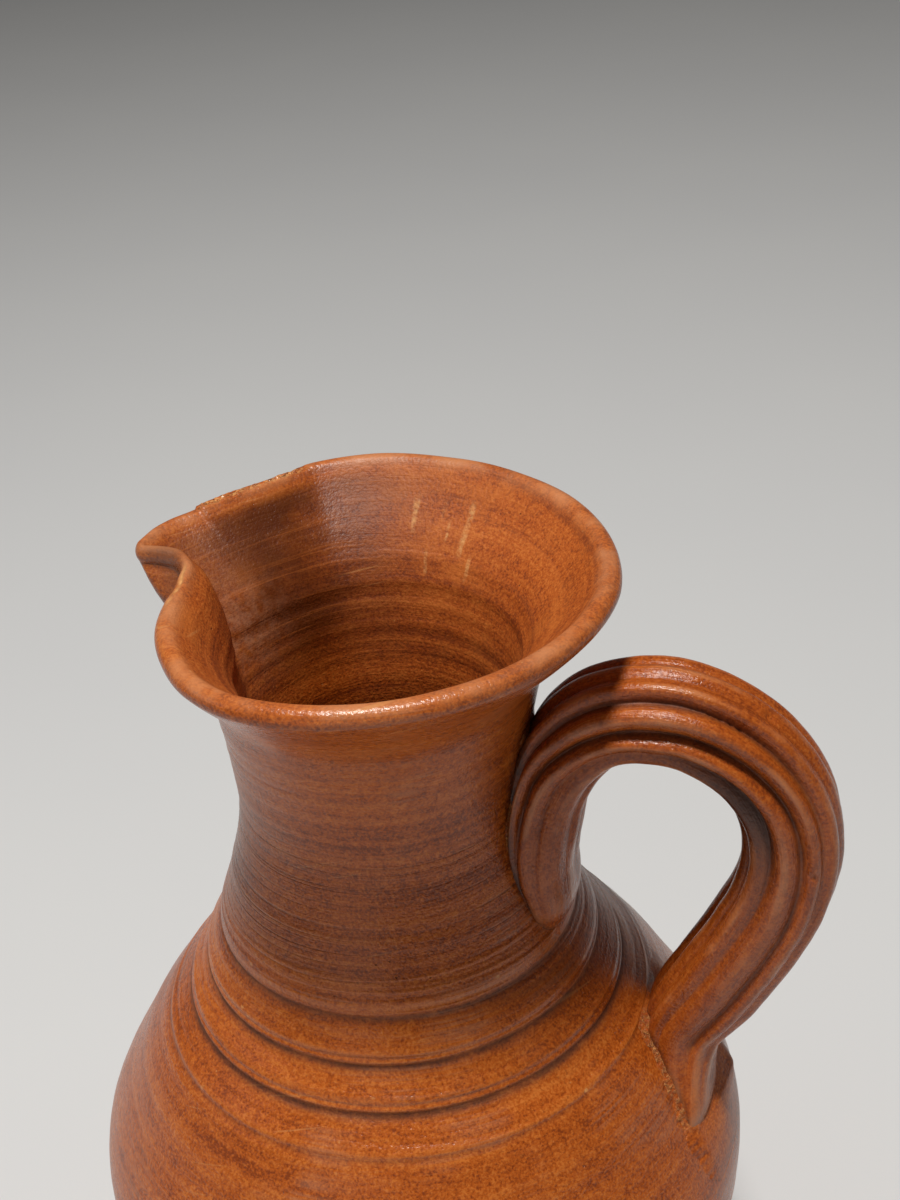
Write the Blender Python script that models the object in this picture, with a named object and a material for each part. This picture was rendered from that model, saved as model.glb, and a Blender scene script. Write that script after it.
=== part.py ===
"""A wheel-thrown terracotta pouring jug: a thrown body with a pinched spout, a ribbed
pulled handle, and the two pads of luting slip that join the handle to the body.

Metres, +Z up, origin on the flat foot at the throwing axis, handle toward +X."""

import math

import bmesh
import bpy
import numpy as np

# Thrown body: each rise is measured from the named line below it, radii are of the outer wall.
# The lower line stands on what the overall height leaves below the other rises.
HEIGHT = 0.2220
FOOT_RADIUS = 0.0440
FOOT_BEVEL = 0.0016
LOWER_RADIUS = 0.0635
BELLY_RISE = 0.0380
BELLY_RADIUS = 0.0697
SHOULDER_RISE = 0.0260
SHOULDER_RADIUS = 0.0586
COLLAR_RISE = 0.0260
COLLAR_RADIUS = 0.0412
THROAT_RISE = 0.0165
THROAT_RADIUS = 0.0342
NECK_RISE = 0.0240
NECK_RADIUS = 0.0290
FLARE_RISE = 0.0240
FLARE_RADIUS = 0.0328
RIM_RISE = 0.0215
RIM_RADIUS = 0.0480
WALL = 0.0044
FLOOR_THICKNESS = 0.0070
FLOOR_FILLET = 0.0140
LIP_LEAN = math.radians(44.0)

# Turned grooves, by height above the collar line
GROOVE_LIFTS = (-0.0078, 0.0, 0.0088)
GROOVE_DEPTHS = (0.0013, 0.0011, 0.0007)
GROOVE_WIDTH = 0.0034

# Rim seen from above: angle on a round rim, angle it is pressed to, share of the lip radius.
# The rim is a little out of round, and from 118 to 258 degrees it is pinched into the spout.
RIM_OUTLINE = (
    (0.0, 0.0, 1.000),
    (22.0, 22.0, 0.984),
    (48.0, 48.0, 0.980),
    (80.0, 80.0, 0.995),
    (104.0, 104.0, 1.020),
    (118.0, 117.6, 1.012),
    (128.0, 125.4, 0.982),
    (138.0, 134.5, 0.960),
    (147.0, 145.1, 0.965),
    (155.0, 154.2, 0.985),
    (161.0, 160.2, 1.015),
    (166.0, 165.8, 1.030),
    (171.0, 170.9, 1.030),
    (175.0, 173.9, 0.995),
    (179.0, 174.1, 0.930),
    (184.0, 175.0, 0.845),
    (189.0, 178.8, 0.770),
    (194.0, 185.9, 0.725),
    (200.0, 195.4, 0.722),
    (207.0, 205.0, 0.760),
    (216.0, 216.4, 0.815),
    (228.0, 230.8, 0.882),
    (243.0, 244.8, 0.950),
    (258.0, 258.5, 0.988),
    (278.0, 278.0, 1.000),
    (360.0, 360.0, 1.000),
)
SPOUT_ANGLE = 181.0
SPOUT_SPREAD = 24.0
SPOUT_THINNING = 0.45
SPOUT_START = 0.0060
NOSE_ANGLE = 177.0
NOSE_SPREAD = 9.0
NOSE_FULLNESS = 0.0030

# Pulled handle
HANDLE_REACH = 0.0795
HANDLE_WIDTH = 0.0188
HANDLE_THICKNESS = 0.0190
ARCH_RISE = 0.0182
TONGUE_LENGTH = 0.0292
TONGUE_LEAN = 0.0055
TAIL_DROP = 0.0375
TAIL_LEAN = 0.0086
RIB_COUNT = 11
RIB_DEPTH = 0.0012
SECTION_POWER = 2.6

# Luting slip between the handle and the body
FIT_GAP = 0.0003
SLIP_THICKNESS = 0.0009
SLIP_EDGE = 0.0004
SLIP_MARGIN = 0.0009
SLIP_CONTACT = 0.88
SLIP_TOP_CONTACT = 0.58
UPPER_SLIP_LAP = 0.0072
LOWER_SLIP_LAP = 0.0028

# Fineness of the meshes
COARSE_STEP = 6.0
FINE_STEP = 2.5
STATIONS = 40
RIB_POINTS = 4

FLARE_Z = HEIGHT - RIM_RISE
NECK_Z = FLARE_Z - FLARE_RISE
THROAT_Z = NECK_Z - NECK_RISE
COLLAR_Z = THROAT_Z - THROAT_RISE
SHOULDER_Z = COLLAR_Z - COLLAR_RISE
BELLY_Z = SHOULDER_Z - SHOULDER_RISE
LOWER_Z = BELLY_Z - BELLY_RISE
LIP_RADIUS = WALL / 2
LIP_CENTRE = RIM_RADIUS - LIP_RADIUS
LIP_Z = HEIGHT - LIP_RADIUS
WALL_TOP = LIP_Z - LIP_RADIUS * math.sin(LIP_LEAN)
OUTLINE_Z = (FOOT_BEVEL, LOWER_Z, BELLY_Z, SHOULDER_Z, COLLAR_Z, THROAT_Z, NECK_Z, FLARE_Z, WALL_TOP)
OUTLINE_R = (
    FOOT_RADIUS,
    LOWER_RADIUS,
    BELLY_RADIUS,
    SHOULDER_RADIUS,
    COLLAR_RADIUS,
    THROAT_RADIUS,
    NECK_RADIUS,
    FLARE_RADIUS,
    LIP_CENTRE + LIP_RADIUS * math.cos(LIP_LEAN),
)


def eased(xs, ys, x):
    """Shape-keeping cubic through the points (xs, ys), read at x."""
    xs = np.asarray(xs, float)
    ys = np.asarray(ys, float)
    h = np.diff(xs)
    d = np.diff(ys) / h
    m = np.zeros_like(ys)
    w1 = 2 * h[1:] + h[:-1]
    w2 = h[1:] + 2 * h[:-1]
    same = d[:-1] * d[1:] > 0
    before = np.where(same, d[:-1], 1.0)
    after = np.where(same, d[1:], 1.0)
    m[1:-1] = np.where(same, (w1 + w2) / (w1 / before + w2 / after), 0.0)
    m[0] = d[0]
    m[-1] = d[-1]
    x = np.clip(np.asarray(x, float), xs[0], xs[-1])
    k = np.clip(np.searchsorted(xs, x) - 1, 0, len(h) - 1)
    t = (x - xs[k]) / h[k]
    a = (1 + 2 * t) * (1 - t) ** 2 * ys[k] + t * (1 - t) ** 2 * h[k] * m[k]
    return a + t * t * (3 - 2 * t) * ys[k + 1] + t * t * (t - 1) * h[k] * m[k + 1]


def wall_radius(z):
    """Outer radius of the body at height z, without its grooves."""
    return eased(OUTLINE_Z, OUTLINE_R, z)


def wall_slope(z):
    step = 0.0005
    return (wall_radius(z + step) - wall_radius(z - step)) / (2 * step)


def shifted_radius(z, distance):
    """Radius at height z of the outer wall moved along its own normal by a distance."""
    grid = np.linspace(FOOT_BEVEL, WALL_TOP, 240)
    slope = wall_slope(grid)
    size = np.sqrt(1 + slope * slope)
    return float(np.interp(z, grid - distance * slope / size, wall_radius(grid) + distance / size))


def add_object(name, vertices, faces, colour, roughness):
    mesh = bpy.data.meshes.new(name)
    mesh.from_pydata([tuple(v) for v in vertices], [], faces)
    work = bmesh.new()
    work.from_mesh(mesh)
    bmesh.ops.recalc_face_normals(work, faces=work.faces)
    work.to_mesh(mesh)
    work.free()
    obj = bpy.data.objects.new(name, mesh)
    bpy.context.scene.collection.objects.link(obj)
    material = bpy.data.materials.new(name)
    material.use_nodes = True
    shader = material.node_tree.nodes["Principled BSDF"]
    shader.inputs["Base Color"].default_value = (*colour, 1.0)
    shader.inputs["Roughness"].default_value = roughness
    shader.inputs["Metallic"].default_value = 0.0
    mesh.materials.append(material)
    return obj


def lofted(rings):
    """Vertices and faces of a closed skin over rings of equal length, with a fan on each end."""
    rings = [np.asarray(r, float) for r in rings]
    count = len(rings[0])
    vertices = [rings[0].mean(axis=0)]
    for ring in rings:
        vertices.extend(ring)
    vertices.append(rings[-1].mean(axis=0))
    faces = []
    last = len(vertices) - 1
    for j in range(count):
        k = (j + 1) % count
        faces.append((0, 1 + k, 1 + j))
        for i in range(len(rings) - 1):
            a = 1 + i * count
            faces.append((a + j, a + k, a + count + k, a + count + j))
        a = 1 + (len(rings) - 1) * count
        faces.append((a + j, a + k, last))
    return vertices, faces


def rim_columns():
    """Angles of the body's columns, and the lip's centre line and outward normal at each."""
    coarse = np.arange(0.0, 150.0, COARSE_STEP)
    fine = np.arange(150.0, 210.0, FINE_STEP)
    rest = np.arange(210.0, 360.0, COARSE_STEP)
    base = np.concatenate([coarse, fine, rest])
    table = np.array(RIM_OUTLINE)
    angle = np.radians(eased(table[:, 0], table[:, 1], base))
    share = eased(table[:, 0], table[:, 2], base)
    lip = LIP_CENTRE * share[:, None] * np.stack([np.cos(angle), np.sin(angle)], 1)
    along = np.roll(lip, -1, axis=0) - np.roll(lip, 1, axis=0)
    normal = np.stack([along[:, 1], -along[:, 0]], 1)
    normal /= np.linalg.norm(normal, axis=1)[:, None]
    return np.radians(base), lip, normal


def spout_pull(z):
    """How far the rim's pressed outline acts at height z: as far as the wall has flared by then."""
    start = NECK_Z + SPOUT_START
    least = float(wall_radius(start))
    flared = float(wall_radius(max(z, start))) - least
    return flared / (OUTLINE_R[-1] - least)


def body_ring(columns, middle, offset, z):
    """One ring of the body: radius of the wall's middle, offset across the wall, height."""
    base, lip, normal = columns
    out = np.stack([np.cos(base), np.sin(base)], 1)
    pull = spout_pull(z)
    across = (1 - pull) * out + pull * normal
    across /= np.linalg.norm(across, axis=1)[:, None]
    turn = (np.degrees(base) - SPOUT_ANGLE) / SPOUT_SPREAD
    thin = 1 - pull * SPOUT_THINNING * np.exp(-turn * turn)
    plan = middle * out + pull * (lip - LIP_CENTRE * out) + offset * thin[:, None] * across
    turn = (np.degrees(base) - NOSE_ANGLE) / NOSE_SPREAD
    full = NOSE_FULLNESS * np.exp(-turn * turn) * 4 * pull * (1 - pull)
    plan = plan + full[:, None] * across
    return np.column_stack([plan, np.full(len(base), z)])


def groove_cut(z):
    cut = 0.0
    for lift, depth in zip(GROOVE_LIFTS, GROOVE_DEPTHS):
        share = abs(z - COLLAR_Z - lift) / (GROOVE_WIDTH / 2)
        cut += depth * max(0.0, 1 - share)
    return cut


def outer_heights():
    """Heights of the outer rings: steps between the outline's lines, and three for each groove."""
    grooves = []
    for lift in GROOVE_LIFTS:
        for side in (-1.0, 0.0, 1.0):
            grooves.append(COLLAR_Z + lift + side * GROOVE_WIDTH / 2)
    heights = []
    for low, high, steps in zip(OUTLINE_Z, OUTLINE_Z[1:], (4, 5, 4, 3, 3, 5, 5, 4)):
        for step in range(1, steps + 1):
            z = low + (high - low) * step / steps
            if min(abs(z - g) for g in grooves) > GROOVE_WIDTH / 3:
                heights.append(z)
    return sorted(heights + grooves)


def inner_heights(bottom):
    """Heights of the inner rings from the lip down to the top of the floor's fillet."""
    heights = []
    for low, high, steps in zip(OUTLINE_Z, OUTLINE_Z[1:], (2, 3, 2, 2, 1, 2, 3, 4)):
        for step in range(1, steps + 1):
            heights.append(low + (high - low) * step / steps)
    return [z for z in sorted(heights, reverse=True) if z > bottom * 1.1] + [bottom]


def make_body():
    columns = rim_columns()
    half = WALL / 2
    rings = [body_ring(columns, FOOT_RADIUS - FOOT_BEVEL, 0.0, 0.0)]
    rings.append(body_ring(columns, FOOT_RADIUS, 0.0, FOOT_BEVEL))
    for z in outer_heights():
        radius = float(wall_radius(z)) - groove_cut(z)
        rings.append(body_ring(columns, radius - half, half, z))
    for turn in (0.0, 42.0, 84.0, 122.0, 180.0 - math.degrees(LIP_LEAN)):
        angle = math.radians(turn)
        z = LIP_Z + LIP_RADIUS * math.sin(angle)
        rings.append(body_ring(columns, LIP_CENTRE, LIP_RADIUS * math.cos(angle), z))
    bottom = FLOOR_THICKNESS + FLOOR_FILLET
    for z in inner_heights(bottom):
        rings.append(body_ring(columns, shifted_radius(z, -WALL) + half, -half, z))
    edge = shifted_radius(bottom, -WALL)
    for turn in (30.0, 60.0, 90.0):
        angle = math.radians(turn)
        radius = edge - FLOOR_FILLET * (1 - math.cos(angle))
        rings.append(body_ring(columns, radius, 0.0, bottom - FLOOR_FILLET * math.sin(angle)))
    vertices, faces = lofted(rings)
    return add_object("thrown_body", vertices, faces, (0.36, 0.115, 0.035), 0.48)


def handle_path():
    """Centre line and section of the handle, from its tongue on the neck to its tail on the belly.

    Each row holds radius, height, then width, thickness and rib depth as shares, then the lean."""
    low = COLLAR_Z - TAIL_DROP
    top = NECK_Z + ARCH_RISE
    tip = NECK_Z - TONGUE_LENGTH
    # Share of the way from the tip to the arch's top, lift from the wall, then the shares
    tongue = (
        (0.000, -0.0004, 0.55, 0.22, 0.00, 1.00),
        (0.140, 0.0010, 1.04, 0.40, 0.10, 0.98),
        (0.312, 0.0021, 1.25, 0.55, 0.40, 0.94),
        (0.474, 0.0036, 1.26, 0.69, 0.75, 0.82),
        (0.644, 0.0051, 1.19, 0.76, 1.00, 0.56),
        (0.818, 0.0077, 1.08, 0.89, 1.00, 0.21),
    )
    # Share of the way from the tail's end to the arch's top, shares of the reach and of the thickness
    arch = (
        (0.977, 0.300, 0.95),
        (1.000, 0.485, 1.00),
        (0.982, 0.665, 1.00),
        (0.918, 0.845, 1.00),
        (0.824, 0.963, 1.00),
        (0.711, 1.000, 1.00),
        (0.593, 0.963, 1.00),
        (0.480, 0.870, 1.00),
        (0.351, 0.735, 1.00),
    )
    # Share of the way from the tail's end to the arch's top, lift from the wall, then the shares
    tail = (
        (0.246, 0.0095, 1.00, 0.92, 0.90, 0.00),
        (0.180, 0.0036, 0.98, 0.80, 0.60, 0.14),
        (0.113, 0.0006, 0.96, 0.62, 0.30, 0.42),
        (0.052, -0.0006, 0.92, 0.42, 0.10, 0.72),
        (0.000, -0.0008, 0.78, 0.22, 0.00, 1.00),
    )
    rows = []
    for at, lift, wide, thick, rib, lean in tongue:
        z = tip + at * (top - tip)
        rows.append((float(wall_radius(z)) + lift, z, wide, thick, rib, lean * TONGUE_LEAN))
    for at, reach, thick in arch:
        radius = NECK_RADIUS + reach * (HANDLE_REACH - NECK_RADIUS)
        rows.append((radius, low + at * (top - low), 1.0, thick, 1.0, 0.0))
    for at, lift, wide, thick, rib, lean in tail:
        z = low + at * (top - low)
        rows.append((float(wall_radius(z)) + lift, z, wide, thick, rib, lean * TAIL_LEAN))
    return np.array(rows), len(tongue), len(tail)


def smooth_through(points, count):
    """A rounded curve through the points, read at evenly spaced places along it."""
    padded = np.vstack([2 * points[0] - points[1], points, 2 * points[-1] - points[-2]])
    dense = []
    for k in range(1, len(padded) - 2):
        p0, p1, p2, p3 = padded[k - 1:k + 3]
        for t in np.linspace(0, 1, 12, endpoint=False):
            a = 2 * p1 + (p2 - p0) * t + (2 * p0 - 5 * p1 + 4 * p2 - p3) * t * t
            dense.append(0.5 * (a + (3 * p1 - p0 - 3 * p2 + p3) * t ** 3))
    dense.append(points[-1])
    dense = np.array(dense)
    steps = np.hypot(np.diff(dense[:, 0]), np.diff(dense[:, 1]))
    length = np.concatenate([[0], np.cumsum(steps)])
    at = np.linspace(0, length[-1], count)
    return np.stack([np.interp(at, length, dense[:, c]) for c in range(dense.shape[1])], 1)


def section(width, thickness, rib):
    """Outline of the handle across its length: sideways and outward distances."""
    count = RIB_COUNT * RIB_POINTS
    turn = np.arange(count) * 2 * math.pi / count
    side = np.sin(turn)
    out = np.cos(turn)
    size = (np.abs(side) ** SECTION_POWER + np.abs(out) ** SECTION_POWER) ** (-1 / SECTION_POWER)
    groove = 0.5 - 0.5 * np.cos(RIB_COUNT * turn)
    keep = 1 - rib * RIB_DEPTH / (HANDLE_THICKNESS / 2) * groove
    return size * keep * side * width / 2, size * keep * out * thickness / 2


def make_handle():
    path = smooth_through(handle_path()[0], STATIONS)
    along = np.gradient(path[:, :2], axis=0)
    along /= np.linalg.norm(along, axis=1)[:, None]
    rings = []
    for row, (dx, dz) in zip(path, along):
        radius, z, wide, thick, rib, lean = row
        side, out = section(wide * HANDLE_WIDTH, thick * HANDLE_THICKNESS, max(rib, 0.0))
        rings.append(np.column_stack([radius - dz * out, -side - lean, z + dx * out]))
    vertices, faces = lofted(rings)
    handle = add_object("pulled_handle", vertices, faces, (0.30, 0.085, 0.026), 0.42)
    seat = handle.modifiers.new("seat", "BOOLEAN")
    seat.operation = "DIFFERENCE"
    seat.solver = "EXACT"
    seat.object = make_seat()
    return handle


def make_seat():
    """The body's outer wall grown by the slip and its gaps: what the handle is trimmed to."""
    grow = 2 * FIT_GAP + SLIP_THICKNESS
    turns = np.radians(np.arange(0, 360, 5.0) + 2.5)
    rings = []
    for z in np.linspace(LOWER_Z, WALL_TOP - WALL / 2, 48):
        radius = shifted_radius(z, grow)
        rings.append([(radius * math.cos(a), radius * math.sin(a), z) for a in turns])
    vertices, faces = lofted(rings)
    seat = add_object("handle_seat", vertices, faces, (0.5, 0.5, 0.5), 0.5)
    seat.hide_render = True
    seat.display_type = "WIRE"
    return seat


def make_slip(name, rows, low, high):
    """A thin tongue of slip on the wall under one end of the handle, wider than it all round."""
    order = np.argsort(rows[:, 1])
    heights = rows[order, 1]
    leans = rows[order, 5]
    touching = np.full(len(rows), SLIP_CONTACT)
    touching[-1] = SLIP_TOP_CONTACT
    touching[-2] = (SLIP_CONTACT + SLIP_TOP_CONTACT) / 2
    widths = rows[order, 2] * touching * HANDLE_WIDTH / 2 + SLIP_MARGIN
    steps = 18
    cols = 10
    rings = []
    for i in range(steps + 1):
        t = i / steps
        z = low + (high - low) * t
        swell = (1 - (2 * t - 1) ** 8) ** 0.5
        half = float(np.interp(z, heights, widths)) * max(swell, 0.25)
        lean = float(np.interp(z, heights, leans))
        slope = float(wall_slope(z))
        size = math.sqrt(1 + slope * slope)
        front = []
        back = []
        for j in range(cols + 1):
            u = 2 * j / cols - 1
            fade = (1 - u ** 6) * (1 - (2 * t - 1) ** 10)
            thick = SLIP_EDGE + (SLIP_THICKNESS - SLIP_EDGE) * fade
            angle = (half * u - lean) / float(wall_radius(z))
            for lift, side in ((FIT_GAP + thick, front), (FIT_GAP, back)):
                radius = float(wall_radius(z)) + lift / size
                height = z - lift * slope / size
                side.append((radius * math.cos(angle), radius * math.sin(angle), height))
        rings.append(front + back[::-1])
    count = len(rings[0])
    vertices = [p for ring in rings for p in ring]
    faces = []
    for i in range(steps):
        for j in range(count):
            k = (j + 1) % count
            a = i * count
            faces.append((a + j, a + k, a + count + k, a + count + j))
    for a in (0, steps * count):
        for j in range(cols):
            faces.append((a + j, a + j + 1, a + count - 2 - j, a + count - 1 - j))
    return add_object(name, vertices, faces, (0.46, 0.19, 0.075), 0.62)


def main():
    for obj in list(bpy.data.objects):
        bpy.data.objects.remove(obj)
    make_body()
    make_handle()
    rows, tongue, tail = handle_path()
    upper = rows[:tongue]
    lower = rows[-tail:]
    make_slip("upper_luting_slip", upper, upper[0, 1] - SLIP_MARGIN, upper[-1, 1] + UPPER_SLIP_LAP)
    make_slip("lower_luting_slip", lower, lower[-1, 1] - SLIP_MARGIN, lower[0, 1] + LOWER_SLIP_LAP)


main()
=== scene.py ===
import math
from functools import partial

import bpy
import numpy as np
from mathutils import Matrix, Vector, noise


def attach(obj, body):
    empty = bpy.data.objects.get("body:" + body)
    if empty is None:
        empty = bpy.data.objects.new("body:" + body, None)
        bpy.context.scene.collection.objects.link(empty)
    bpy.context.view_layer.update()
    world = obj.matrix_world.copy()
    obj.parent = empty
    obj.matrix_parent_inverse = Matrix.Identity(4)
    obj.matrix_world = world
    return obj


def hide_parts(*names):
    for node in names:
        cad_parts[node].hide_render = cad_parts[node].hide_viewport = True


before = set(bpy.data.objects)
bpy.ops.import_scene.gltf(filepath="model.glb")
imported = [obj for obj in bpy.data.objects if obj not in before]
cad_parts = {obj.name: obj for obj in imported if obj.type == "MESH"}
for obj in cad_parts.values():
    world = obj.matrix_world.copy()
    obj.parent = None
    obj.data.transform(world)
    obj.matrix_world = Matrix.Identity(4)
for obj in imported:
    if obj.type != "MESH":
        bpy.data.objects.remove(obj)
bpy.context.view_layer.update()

# Thrown body: each rise is measured from the named line below it, radii are of the outer wall
HEIGHT = 0.2220
FOOT_RADIUS = 0.0440
FOOT_BEVEL = 0.0016
LOWER_RADIUS = 0.0635
BELLY_RISE = 0.0380
BELLY_RADIUS = 0.0697
SHOULDER_RISE = 0.0260
SHOULDER_RADIUS = 0.0586
COLLAR_RISE = 0.0260
COLLAR_RADIUS = 0.0412
THROAT_RISE = 0.0165
THROAT_RADIUS = 0.0342
NECK_RISE = 0.0240
NECK_RADIUS = 0.0290
FLARE_RISE = 0.0240
FLARE_RADIUS = 0.0328
RIM_RISE = 0.0215
RIM_RADIUS = 0.0480
WALL = 0.0044
FLOOR_THICKNESS = 0.0070
FLOOR_FILLET = 0.0140
LIP_LEAN = math.radians(44.0)

# Turned grooves: height above the collar line, depth
GROOVES = ((-0.0081, 0.0011), (-0.0003, 0.0010), (0.0083, 0.0008))
# Step over each groove, up to the ridge of the tier above it: rise from the groove, share of its depth
GROOVE_STEP = (
    (0.0000, 1.00),
    (0.0007, 0.75),
    (0.0013, 0.22),
    (0.0016, 0.12),
    (0.0020, 0.30),
    (0.0026, -0.10),
)
GROOVE_SOFTNESS = 0.00025
TIER_RIDGE = 0.0031
TIER_PROUD = 0.00030
# Width of the ridge's pale band, partly rubbed and partly a painted highlight
TIER_RIDGE_WIDTH = 0.0005
COLLAR_START = -0.0200
COLLAR_END_RISE = 0.0110
# Fine ridge under the lowest groove: its place over the collar line, then rises from it and cuts there
FINE_RIDGE_LIFT = -0.0133
FINE_RIDGE_WIDTH = 0.0004
FINE_RIDGE = ((-0.0022, 0.0), (-0.0010, 0.00022), (0.0, -0.00026), (0.0010, 0.00005))
# Fine lines round the foot of the neck, over the collar line
NECK_LINES = (0.0104, 0.0122, 0.0140, 0.0163)
NECK_LINE_PROUD = 0.00009
NECK_LINE_WIDTH = 0.00028
# Share of the ridge's rubbed pale and painted highlight on each fine line
NECK_LINE_RUBBED_HIGHLIGHT = 0.7
# Painted shade in the grooves: rise from the groove, width, and the depth of groove that holds it fully
GROOVE_SHADE = (0.0002, 0.0008, 0.0010)
# Painted shade under the fine ridge: share, drop from the ridge, width
FINE_RIDGE_SHADE = (0.30, 0.0011, 0.0005)

# Rim seen from above: angle on a round rim, angle it is pressed to, share of the lip radius
RIM_OUTLINE = (
    (0.0, 0.0, 1.000),
    (22.0, 22.0, 0.984),
    (48.0, 48.0, 0.980),
    (80.0, 80.0, 0.995),
    (104.0, 104.0, 1.020),
    (118.0, 117.6, 1.012),
    (128.0, 125.4, 0.982),
    (138.0, 134.5, 0.960),
    (147.0, 145.1, 0.965),
    (155.0, 154.2, 0.985),
    (161.0, 160.2, 1.015),
    (166.0, 165.8, 1.030),
    (171.0, 170.9, 1.030),
    (175.0, 173.9, 0.995),
    (179.0, 174.1, 0.930),
    (184.0, 175.0, 0.845),
    (189.0, 178.8, 0.770),
    (194.0, 185.9, 0.725),
    (200.0, 195.4, 0.722),
    (207.0, 205.0, 0.760),
    (216.0, 216.4, 0.815),
    (228.0, 230.8, 0.882),
    (243.0, 244.8, 0.950),
    (258.0, 258.5, 0.988),
    (278.0, 278.0, 1.000),
    (360.0, 360.0, 1.000),
)
SPOUT_ANGLE = 181.0
SPOUT_SPREAD = 24.0
SPOUT_THINNING = 0.45
SPOUT_START = 0.0060
NOSE_ANGLE = 177.0
NOSE_SPREAD = 9.0
NOSE_FULLNESS = 0.0030

# Pulled handle
HANDLE_REACH = 0.0795
HANDLE_WIDTH = 0.0188
HANDLE_THICKNESS = 0.0190
ARCH_RISE = 0.0182
TONGUE_LENGTH = 0.0292
TONGUE_LEAN = 0.0055
TAIL_DROP = 0.0375
TAIL_LEAN = 0.0086
RIB_DEPTH = 0.0012
SECTION_POWER = 2.6
# How far the strap is pressed round the wall, and how near the wall that starts
HANDLE_HUG = 0.65
HUG_SPAN = (0.006, 0.014)
END_BURIED = 0.0016

# Furrows between the ribs that the pulling fingers left: places along the handle as shares of its length,
# then for each furrow its turn in degrees round the section, and its depth as a share, at those places.
# Turn 0 faces out, away from the jug, and 90 faces the front.
FURROW_PLACES = (0.00, 0.10, 0.20, 0.28, 0.34, 0.42, 0.50, 0.60, 0.72, 0.88, 1.00)
FRONT_FURROWS = (
    (
        (18, 18, 18, 17, 15, 14, 15, 17, 18, 18, 18),
        (0.7, 0.7, 0.8, 0.9, 0.9, 0.8, 0.7, 0.6, 0.6, 0.6, 0.6),
    ),
    (
        (44, 44, 45, 48, 46, 44, 46, 48, 46, 46, 46),
        (0.5, 0.6, 1.2, 1.7, 2.0, 1.9, 1.3, 0.9, 0.8, 0.7, 0.6),
    ),
    (
        (62, 63, 68, 88, 91, 83, 77, 74, 72, 73, 74),
        (0.8, 1.2, 1.7, 1.9, 2.0, 1.9, 1.6, 1.4, 1.3, 1.3, 1.2),
    ),
    (
        (98, 100, 103, 116, 121, 118, 115, 116, 119, 120, 120),
        (0.8, 1.0, 1.0, 0.9, 0.9, 1.5, 1.6, 1.1, 0.9, 0.9, 0.9),
    ),
)
BACK_FURROWS = (150.0, 180.0, 212.0, 244.0, 277.0, 310.0, 343.0)
BACK_DEPTH = 0.9
FURROW_ROUND = 0.02
RIB_WAVER = 0.14
# Furrow depths, as shares, between which a furrow fills with painted shade
FURROW_SHADE_DEPTHS = (0.5, 1.8)
FURROW_SHADE_FULL = 1.7

# Torn step in a furrow at the top of the arch: place along the handle and turn, each with its spread
TEAR_PLACE = (0.415, 0.030)
TEAR_TURN = (44.0, 7.0)
TEAR_DEPTH = 0.0005
# Painted shade under the bend: place along the handle with its spread, and the turns where it starts and
# ends
BEND_SHADE_PLACE = (0.49, 0.13)
BEND_SHADE_TURNS = (99, 113, 170, 200)
# Dents: centre and width
DENTS = (((0.0748, -0.0012, 0.1958), 0.0008), ((0.0839, -0.0086, 0.1656), 0.0008))
DENT_DEPTH = 0.0007
# Lumps in the strap: height, noise scale, seed
HANDLE_LUMPS = ((0.00022, 75, 5), (0.00007, 310, 6))
# Painted shade along the seam against the wall: clear heights where it is full and gone
SEAM_SHADE_SPAN = (0.0004, 0.0022)
HANDLE_STATIONS = 300
HANDLE_COLUMNS = 240

# Luting slip: how far it runs out left, right and past the strap's tip, how thick it is against the strap
# left and right, and how far it starts under the strap
UPPER_SLIP_EDGES = (0.0016, 0.0016, 0.0016, 0.0006, 0.0008, 0.0016)
LOWER_SLIP_EDGES = (0.0044, 0.0130, 0.0120, 0.0015, 0.0046, 0.0010)
UPPER_SLIP_LAP = 0.0072
LOWER_SLIP_LAP = 0.0028
UPPER_SLIP_SEED = 3.3
LOWER_SLIP_SEED = 8.1
SLIP_BURIED = 0.0009
SLIP_SINKS_FROM = 0.80
SLIP_CONTACT = 0.88
SLIP_TOP_CONTACT = 0.58
SLIP_TOP_FADE = 0.005
SLIP_RIGHT_TUCK = 0.3
FILLET_SHARE = 0.95
FILLET_RISE = 0.0060
FILLET_SPAN = (0.001, 0.008)
LUMPS_START = 0.002
LUMPS_FULL = 0.009
LUMP_SIZE = 0.3
LUMP_LEAST = 0.4
CRUMBS_START = 0.3
# Thumb's hollow beside the tail, and the low rim pushed up round it
THUMB_BESIDE = 0.0030
THUMB_RISE = 0.0095
THUMB_WIDTH = 0.0042
THUMB_HEIGHT = 0.0082
THUMB_DEPTH = 0.0011
THUMB_ROUND = 0.8
THUMB_RIM = 0.35
THUMB_RIM_AT = (1.25, 0.3)
SLIP_STEPS = 150
SLIP_COLUMNS = 90

FLARE_Z = HEIGHT - RIM_RISE
NECK_Z = FLARE_Z - FLARE_RISE
THROAT_Z = NECK_Z - NECK_RISE
COLLAR_Z = THROAT_Z - THROAT_RISE
SHOULDER_Z = COLLAR_Z - COLLAR_RISE
BELLY_Z = SHOULDER_Z - SHOULDER_RISE
LOWER_Z = BELLY_Z - BELLY_RISE
LIP_RADIUS = WALL / 2
LIP_CENTRE = RIM_RADIUS - LIP_RADIUS
LIP_Z = HEIGHT - LIP_RADIUS
WALL_TOP = LIP_Z - LIP_RADIUS * math.sin(LIP_LEAN)
OUTLINE_Z = (FOOT_BEVEL, LOWER_Z, BELLY_Z, SHOULDER_Z, COLLAR_Z, THROAT_Z, NECK_Z, FLARE_Z, WALL_TOP)
OUTLINE_R = (
    FOOT_RADIUS,
    LOWER_RADIUS,
    BELLY_RADIUS,
    SHOULDER_RADIUS,
    COLLAR_RADIUS,
    THROAT_RADIUS,
    NECK_RADIUS,
    FLARE_RADIUS,
    LIP_CENTRE + LIP_RADIUS * math.cos(LIP_LEAN),
)

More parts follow.
